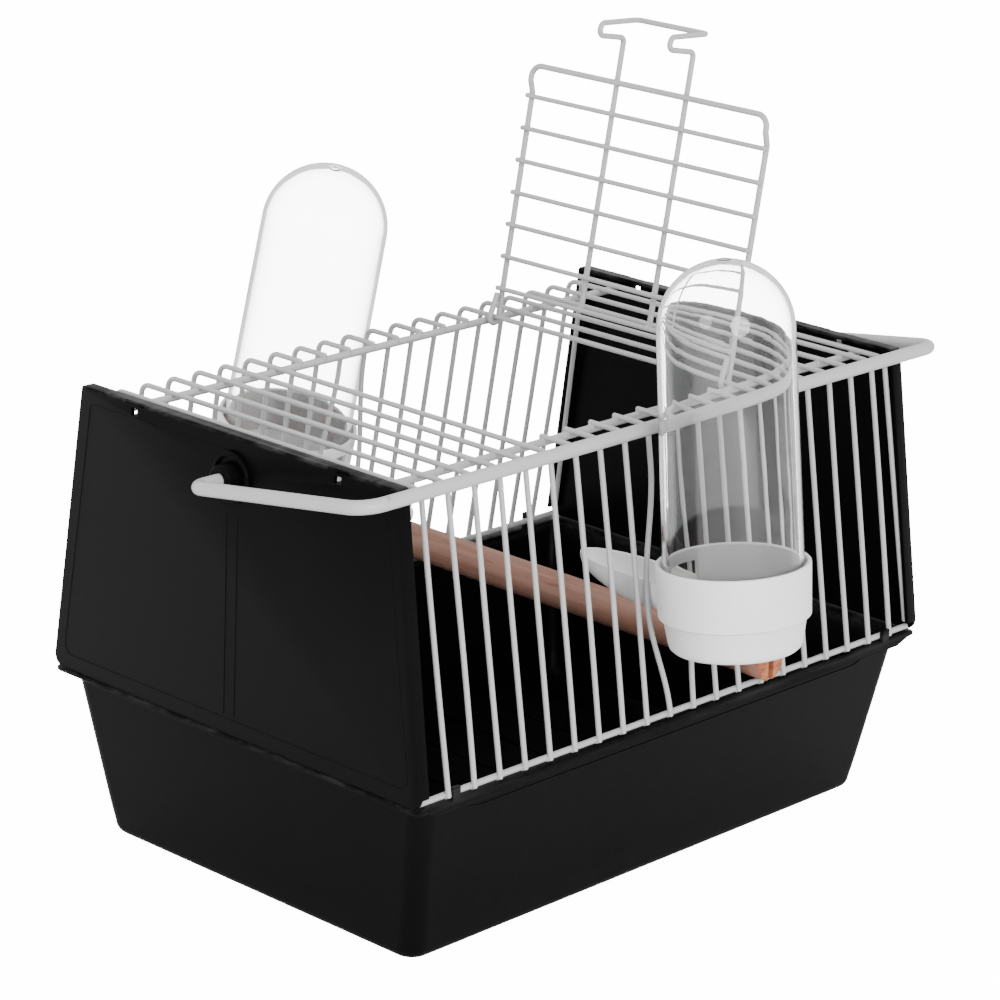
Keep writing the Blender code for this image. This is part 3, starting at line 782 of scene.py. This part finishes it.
def make_rails(coating):
    """The four rails, sunk a little into the wires that they are welded to."""
    roof_z = ROOF_Z - WIRE - RAIL + WELD_SINK
    low_y = FACE_AT_RAIL - WIRE - LOW_RAIL + WELD_SINK
    for side, face in ((-1, "front"), (1, "back")):
        for level, half, y, z, radius in (
            ("roof", 124.6 * MM, ROOF_RAIL_Y, roof_z, RAIL),
            ("bottom", 126.4 * MM, low_y, RAIL_Z, LOW_RAIL),
        ):
            line = subdivided([(-half, side * y, z), (half, side * y, z)], 20 * MM)
            rail = add_wire(f"{face}_{level}_rail_coated", line, radius, coating)
            place(rail, "cage", "coated_wire", f"{face}_{level}_rail")


def make_weld_beads(coating):
    roof_bead = (1.5 * MM, 1.6 * MM, 1.1 * MM)
    low_bead = (1.35 * MM, 0.95 * MM, 1.3 * MM)
    spots = []
    for index in range(1, 21):
        x = wire_x(index)
        for side in (-1, 1):
            spots.append(((x, side * ROOF_RAIL_Y, ROOF_Z - 1.15 * MM), roof_bead))
            spots.append(((x, side * (FACE_AT_RAIL - 1.05 * MM), RAIL_Z), low_bead))
    place(add_blobs("body_weld_beads", spots, coating), "cage", "coated_wire")


# ---------------------------------------------------------------- handle, door, perch


HANDLE_WIRE = 2.4 * MM
HANDLE_HALF = 144.5 * MM
HANDLE_END = 124.9 * MM
HANDLE_BAR_Y, HANDLE_BAR_Z = -80.25 * MM, 165.4 * MM


def make_handle(coating):
    """The bail, bent flat round its pivot and then turned to where its bar rests."""
    pivot = Vector((0, 0, PIVOT_Z))
    rise = HANDLE_BAR_Z - PIVOT_Z
    arm = math.hypot(HANDLE_BAR_Y, rise)
    corners = [
        (-HANDLE_END, 0, 0),
        (-HANDLE_HALF, 0, 0),
        (-HANDLE_HALF, -arm, 0),
        (HANDLE_HALF, -arm, 0),
        (HANDLE_HALF, 0, 0),
        (HANDLE_END, 0, 0),
    ]
    line = rounded_path(corners, (4.5 * MM, 8 * MM, 8 * MM, 4.5 * MM), steps=14)
    turn = Matrix.Rotation(-math.atan2(rise, -HANDLE_BAR_Y), 3, "X")
    line = [pivot + turn @ point for point in line]
    handle = add_wire("handle_bail_coated", line, HANDLE_WIRE, coating, 28)
    place(handle, "handle", "coated_wire", "handle_bail")


DOOR_OPEN = math.radians(100.3)
DOOR_WIRE = 1.1 * MM
CROSS_WIRE = 0.9 * MM
LATCH_WIRE = 1.05 * MM
EYE = 2.35 * MM
CROSS_N = 0.05 * MM
LATCH_N = 2.2 * MM
DOOR_HALF = 56.3 * MM
LATCH_HALF = 16.6 * MM
FRAME_TOP = 94.2 * MM


def door_points(profile, y):
    """Points of the door as it stands open, from (distance from the hinge, height) pairs."""
    opened = Matrix.Rotation(DOOR_OPEN, 3, "Y")
    hinge = Vector((wire_x(15), 0, ROOF_Z))
    return [hinge + opened @ Vector((-u, y, n)) for u, n in profile]


def both_sides(profile, half):
    return door_points(profile, half) + door_points(profile[::-1], -half)


def add_door_wire(name, node, line, radius, coating):
    place(add_wire(name, line, radius, coating), "door", "coated_wire", node)


def make_door_frame(coating):
    """The frame wire: an eye round the hinge wire at each foot, and a bent top."""
    eye = [(9.2 * MM, -0.15 * MM), (6.5 * MM, -0.75 * MM)]
    for step in range(20):
        angle = math.radians(284 - 194 * step / 20)
        eye.append((EYE * math.cos(angle), EYE * math.sin(angle)))
    sides = [(0, EYE), (84 * MM, EYE - 0.35 * MM), (88.6 * MM, CROSS_N), (FRAME_TOP, CROSS_N)]
    bends = (2 * MM, 1.5 * MM, 4.5 * MM, 4.5 * MM, 1.5 * MM, 2 * MM)
    frame_line = rounded_path(both_sides(sides, DOOR_HALF), bends)
    line = door_points(eye, DOOR_HALF) + frame_line + door_points(eye[::-1], -DOOR_HALF)
    add_door_wire("door_frame_coated", "door_frame", line, DOOR_WIRE, coating)


def make_door_crossings(coating):
    """The seven cross wires, and the beads where they meet the frame and the latch wire."""
    beads = []
    for number in range(1, 8):
        u = number * WIRE_PITCH - 1.2 * MM
        ends = [door_points([(u, CROSS_N)], y)[0] for y in (-57.6 * MM, 57.6 * MM)]
        line = subdivided(ends, 12 * MM)
        add_door_wire(
            f"door_cross_{number}_coated", f"door_cross_wire_{number}", line, CROSS_WIRE, coating
        )
        for half, n in ((DOOR_HALF, 1.2 * MM), (LATCH_HALF, 1.15 * MM)):
            for y in (-half, half):
                beads.append((door_points([(u, n)], y)[0], (1.1 * MM, 1.25 * MM, 1.2 * MM)))
    for y in (-LATCH_HALF, LATCH_HALF):
        crossing = door_points([(FRAME_TOP, 1.1 * MM)], y)[0]
        beads.append((crossing, (1.2 * MM, 1.4 * MM, 1.3 * MM)))
    place(add_blobs("door_weld_beads", beads, coating), "door", "coated_wire")


def make_door_latch(coating):
    """One wire with two prongs over the cross wires, bent into a finger bar at the far end."""
    prongs = [
        (9.8 * MM, LATCH_N),
        (110.4 * MM, LATCH_N),
        (110.4 * MM, -11.8 * MM),
        (114.9 * MM, -10.8 * MM),
        (117.2 * MM, 8.2 * MM),
    ]
    half_bends = (1.9 * MM, 2.1 * MM, 2.1 * MM, 2 * MM)
    line = rounded_path(both_sides(prongs, LATCH_HALF), half_bends + half_bends[::-1])
    add_door_wire("door_latch_coated", "door_latch_wire", line, LATCH_WIRE, coating)


PERCH_RADIUS = 6.6 * MM
PERCH_HALF = 94 * MM
PERCH_Z = 71.6 * MM
NOTCH_HALF = 1.3 * MM


def make_perch(beech, end_grain):
    """A dowel across the tray, with a notch cut in each end for the wires."""
    chamfer = 0.5 * MM
    profile = [(PERCH_RADIUS - chamfer, -PERCH_HALF), (PERCH_RADIUS, -PERCH_HALF + chamfer)]
    profile += [(PERCH_RADIUS, z * MM) for z in (-70, -40, 0, 40, 70)]
    profile += [(PERCH_RADIUS, PERCH_HALF - chamfer), (PERCH_RADIUS - chamfer, PERCH_HALF)]
    shape = turned(profile, 48)
    lying = Matrix.Rotation(math.pi / 2, 3, "X")
    bmesh.ops.rotate(shape, cent=(0, 0, 0), matrix=lying, verts=shape.verts)
    perch = add_mesh("perch_dowel", shape, beech)
    perch.data.materials.append(end_grain)
    steps = []
    for side in (-1, 1):
        low, high = sorted((side * (PERCH_HALF - 8 * MM), side * (PERCH_HALF + 2 * MM)))
        notch = block((-NOTCH_HALF, low, -8 * MM), (NOTCH_HALF, high, 8 * MM))
        steps.append((notch, "DIFFERENCE"))
    combine(perch, steps, end_grain)
    perch.data.set_sharp_from_angle(angle=math.radians(35))
    for face in perch.data.polygons:
        in_notch = abs(face.center.x) < NOTCH_HALF + 0.05 * MM and abs(face.normal.x) > 0.9
        if abs(face.normal.y) > 0.6 or in_notch:
            face.material_index = 1
    perch.location = (wire_x(14), 0, PERCH_Z)
    place(perch, "cage", "beech", "perch")


# ---------------------------------------------------------------- feeders


CUP = 26.3 * MM
CUP_WALL = 1.6 * MM
CUP_DEPTH = 30.3 * MM
CUP_STEP = -18.4 * MM
CUP_LOWER_TOP, CUP_LOWER_FOOT = 24.2 * MM, 22.9 * MM
TUBE_FOOT = 24.1 * MM
DOME = 23.1 * MM
TUBE_WALL = 1.4 * MM
TUBE_TOP = 102.7 * MM
INSERTED = 16.2 * MM
SPOUT_TOP = -12.9 * MM
SPOUT_REACH = 68 * MM
SPOUT_NOSE = 26 * MM
SPOUT_TILT = math.radians(5.8)
FRONT_CUP, FRONT_LEAN = (-111.6 * MM, 124.2 * MM), 5.8
BACK_CUP, BACK_LEAN = (109.7 * MM, 122.5 * MM), 13.2


def spout_shape(inset, overshoot):
    """A boat-shaped trough from the cup's middle to its nose, inset by its wall on the inside."""
    reach, nose = SPOUT_REACH - inset, SPOUT_NOSE - inset
    stations, sides = 20, 20
    rings = []
    for station in range(stations + 1):
        if station == 0:
            along = 14 * MM
        else:
            bow = 0.5 * math.pi * (station - 1) / (stations - 1) * 0.985
            along = reach - nose + nose * math.sin(bow)
        left = max(0.0, (along - (reach - nose)) / nose)
        fullness = math.sqrt(max(0.0, 1 - left * left))
        half = (9 * MM - inset) * fullness
        depth = (12.4 * MM - inset) * (1 - 0.35 * left) * fullness ** 0.6
        ring = []
        for step in range(sides + 1):
            angle = math.pi * step / sides
            down = depth * max(0.0, math.sin(angle)) ** 0.75
            ring.append((half * math.cos(angle), along, SPOUT_TOP - down))
        if overshoot:
            top = SPOUT_TOP + overshoot
            ring = [(half, along, top)] + ring + [(-half, along, top)]
        rings.append(ring)
    shape = skin(rings)
    bmesh.ops.transform(shape, matrix=Matrix.Rotation(SPOUT_TILT, 4, "X"), verts=shape.verts)
    return shape


def make_cup(face, white):
    """A stepped cup, its rim at height 0, with the spout joined to its side."""
    bottom = -CUP_DEPTH
    outside = turned(
        [
            (CUP_LOWER_FOOT - 4 * MM, bottom),
            (CUP_LOWER_FOOT - 1.6 * MM, bottom + 0.4 * MM),
            (CUP_LOWER_FOOT - 0.5 * MM, bottom + 1.4 * MM),
            (CUP_LOWER_FOOT, bottom + 3 * MM),
            (CUP_LOWER_TOP, CUP_STEP - 0.7 * MM),
            (CUP_LOWER_TOP + 0.2 * MM, CUP_STEP - 0.4 * MM),
            (CUP - 0.9 * MM, CUP_STEP - 0.15 * MM),
            (CUP - 0.45 * MM, CUP_STEP + 0.3 * MM),
            (CUP, -0.9 * MM),
            (CUP - 0.1 * MM, -0.3 * MM),
            (CUP - 0.4 * MM, 0),
        ]
    )
    cup = add_mesh(f"{face}_cup_moulding", outside, white)
    ledge = -INSERTED - 0.3 * MM
    inside = turned(
        [
            (CUP_LOWER_FOOT - CUP_WALL - 2 * MM, bottom + 1.6 * MM),
            (CUP_LOWER_FOOT - CUP_WALL, bottom + 3.4 * MM),
            (CUP_LOWER_TOP - CUP_WALL - 0.4 * MM, ledge),
            (CUP - CUP_WALL, ledge + 0.1 * MM),
            (CUP - CUP_WALL, -0.4 * MM),
            (CUP - CUP_WALL + 0.4 * MM, 0.0),
            (CUP - CUP_WALL + 0.4 * MM, 3 * MM),
        ]
    )
    steps = [
        (spout_shape(0, 0), "UNION"),
        (inside, "DIFFERENCE"),
        (spout_shape(1.3 * MM, 6 * MM), "DIFFERENCE"),
    ]
    combine(cup, steps, white)
    cup.data.set_sharp_from_angle(angle=math.radians(34))
    return cup


def dome_profile(radius):
    """A quarter circle that stops just short of the axis."""
    angles = [math.pi / 2 * step / 24 * 0.998 for step in range(25)]
    middle = TUBE_TOP - DOME
    return [(radius * math.cos(angle), middle + radius * math.sin(angle)) for angle in angles]


def make_tube(face, clear):
    """The blown tube, open below, and the gate mark on top of its dome."""
    foot = [
        (TUBE_FOOT - TUBE_WALL, -INSERTED + 0.3 * MM),
        (TUBE_FOOT - TUBE_WALL + 0.3 * MM, -INSERTED),
        (TUBE_FOOT - 0.3 * MM, -INSERTED),
        (TUBE_FOOT, -INSERTED + 0.3 * MM),
    ]
    inside = dome_profile(DOME - TUBE_WALL)[::-1]
    wall = turned(inside + foot + dome_profile(DOME), 128)
    tube = add_mesh(f"{face}_tube_blown", wall, clear, soft_edge=30)
    rim = [(2.3 * MM, -0.25 * MM), (2.3 * MM, 0.12 * MM), (1.9 * MM, 0.25 * MM)]
    dimple = [(1.2 * MM, 0.12 * MM), (0.3 * MM, 0.1 * MM)]
    gate = turned(rim + dimple, 32)
    bmesh.ops.translate(gate, vec=(0, 0, TUBE_TOP - 0.1 * MM), verts=gate.verts)
    return tube, add_mesh(f"{face}_tube_gate_mark", gate, clear)


def make_feeder(face, rim_middle, lean, turn, white, clear):
    """A feeder whose spout points into the cage, leaning with the wires that hold it."""
    cup = make_cup(face, white)
    tube, mark = make_tube(face, clear)
    facing = Matrix.Rotation(turn, 4, "Z") @ Matrix.Rotation(-math.radians(lean), 4, "X")
    for obj in (cup, tube, mark):
        obj.matrix_world = Matrix.Translation(rim_middle) @ facing
    place(cup, f"{face}_feeder", "white_plastic", f"{face}_feeder_cup")
    place(tube, f"{face}_tube", "clear_plastic", f"{face}_feeder_tube")
    place(mark, f"{face}_tube", "clear_plastic")


# ---------------------------------------------------------------- assembly


def main():
    make_camera()
    make_studio()
    # the grey streaks at the tray's rim and hooks and along the panels' top edges are painted
    # reflection
    tray_black = make_black("black_tray", 0.058, 0.0635, 0.02)
    panel_black = make_black("black_panel", 0.1036, 0.105, 0.035)
    coating = make_coating("wire_coating", (0.42, 0.42, 0.425), 0)
    handle_coating = make_coating("handle_coating", (0.44, 0.44, 0.442), 0.8)
    white = make_white_plastic()
    clear = make_clear()
    make_tray(tray_black)
    make_tray_details(tray_black)
    make_panel("left_end_panel", -1, panel_black)
    make_panel("right_end_panel", 1, panel_black)
    make_upright_wires(coating)
    make_rails(coating)
    make_weld_beads(coating)
    make_handle(handle_coating)
    make_door_frame(coating)
    make_door_crossings(coating)
    make_door_latch(coating)
    make_perch(make_beech(), make_end_grain())
    make_feeder("front", (FRONT_CUP_X, *FRONT_CUP), FRONT_LEAN, 0, white, clear)
    make_feeder("back", (BACK_CUP_X, *BACK_CUP), BACK_LEAN, math.pi, white, clear)


main()
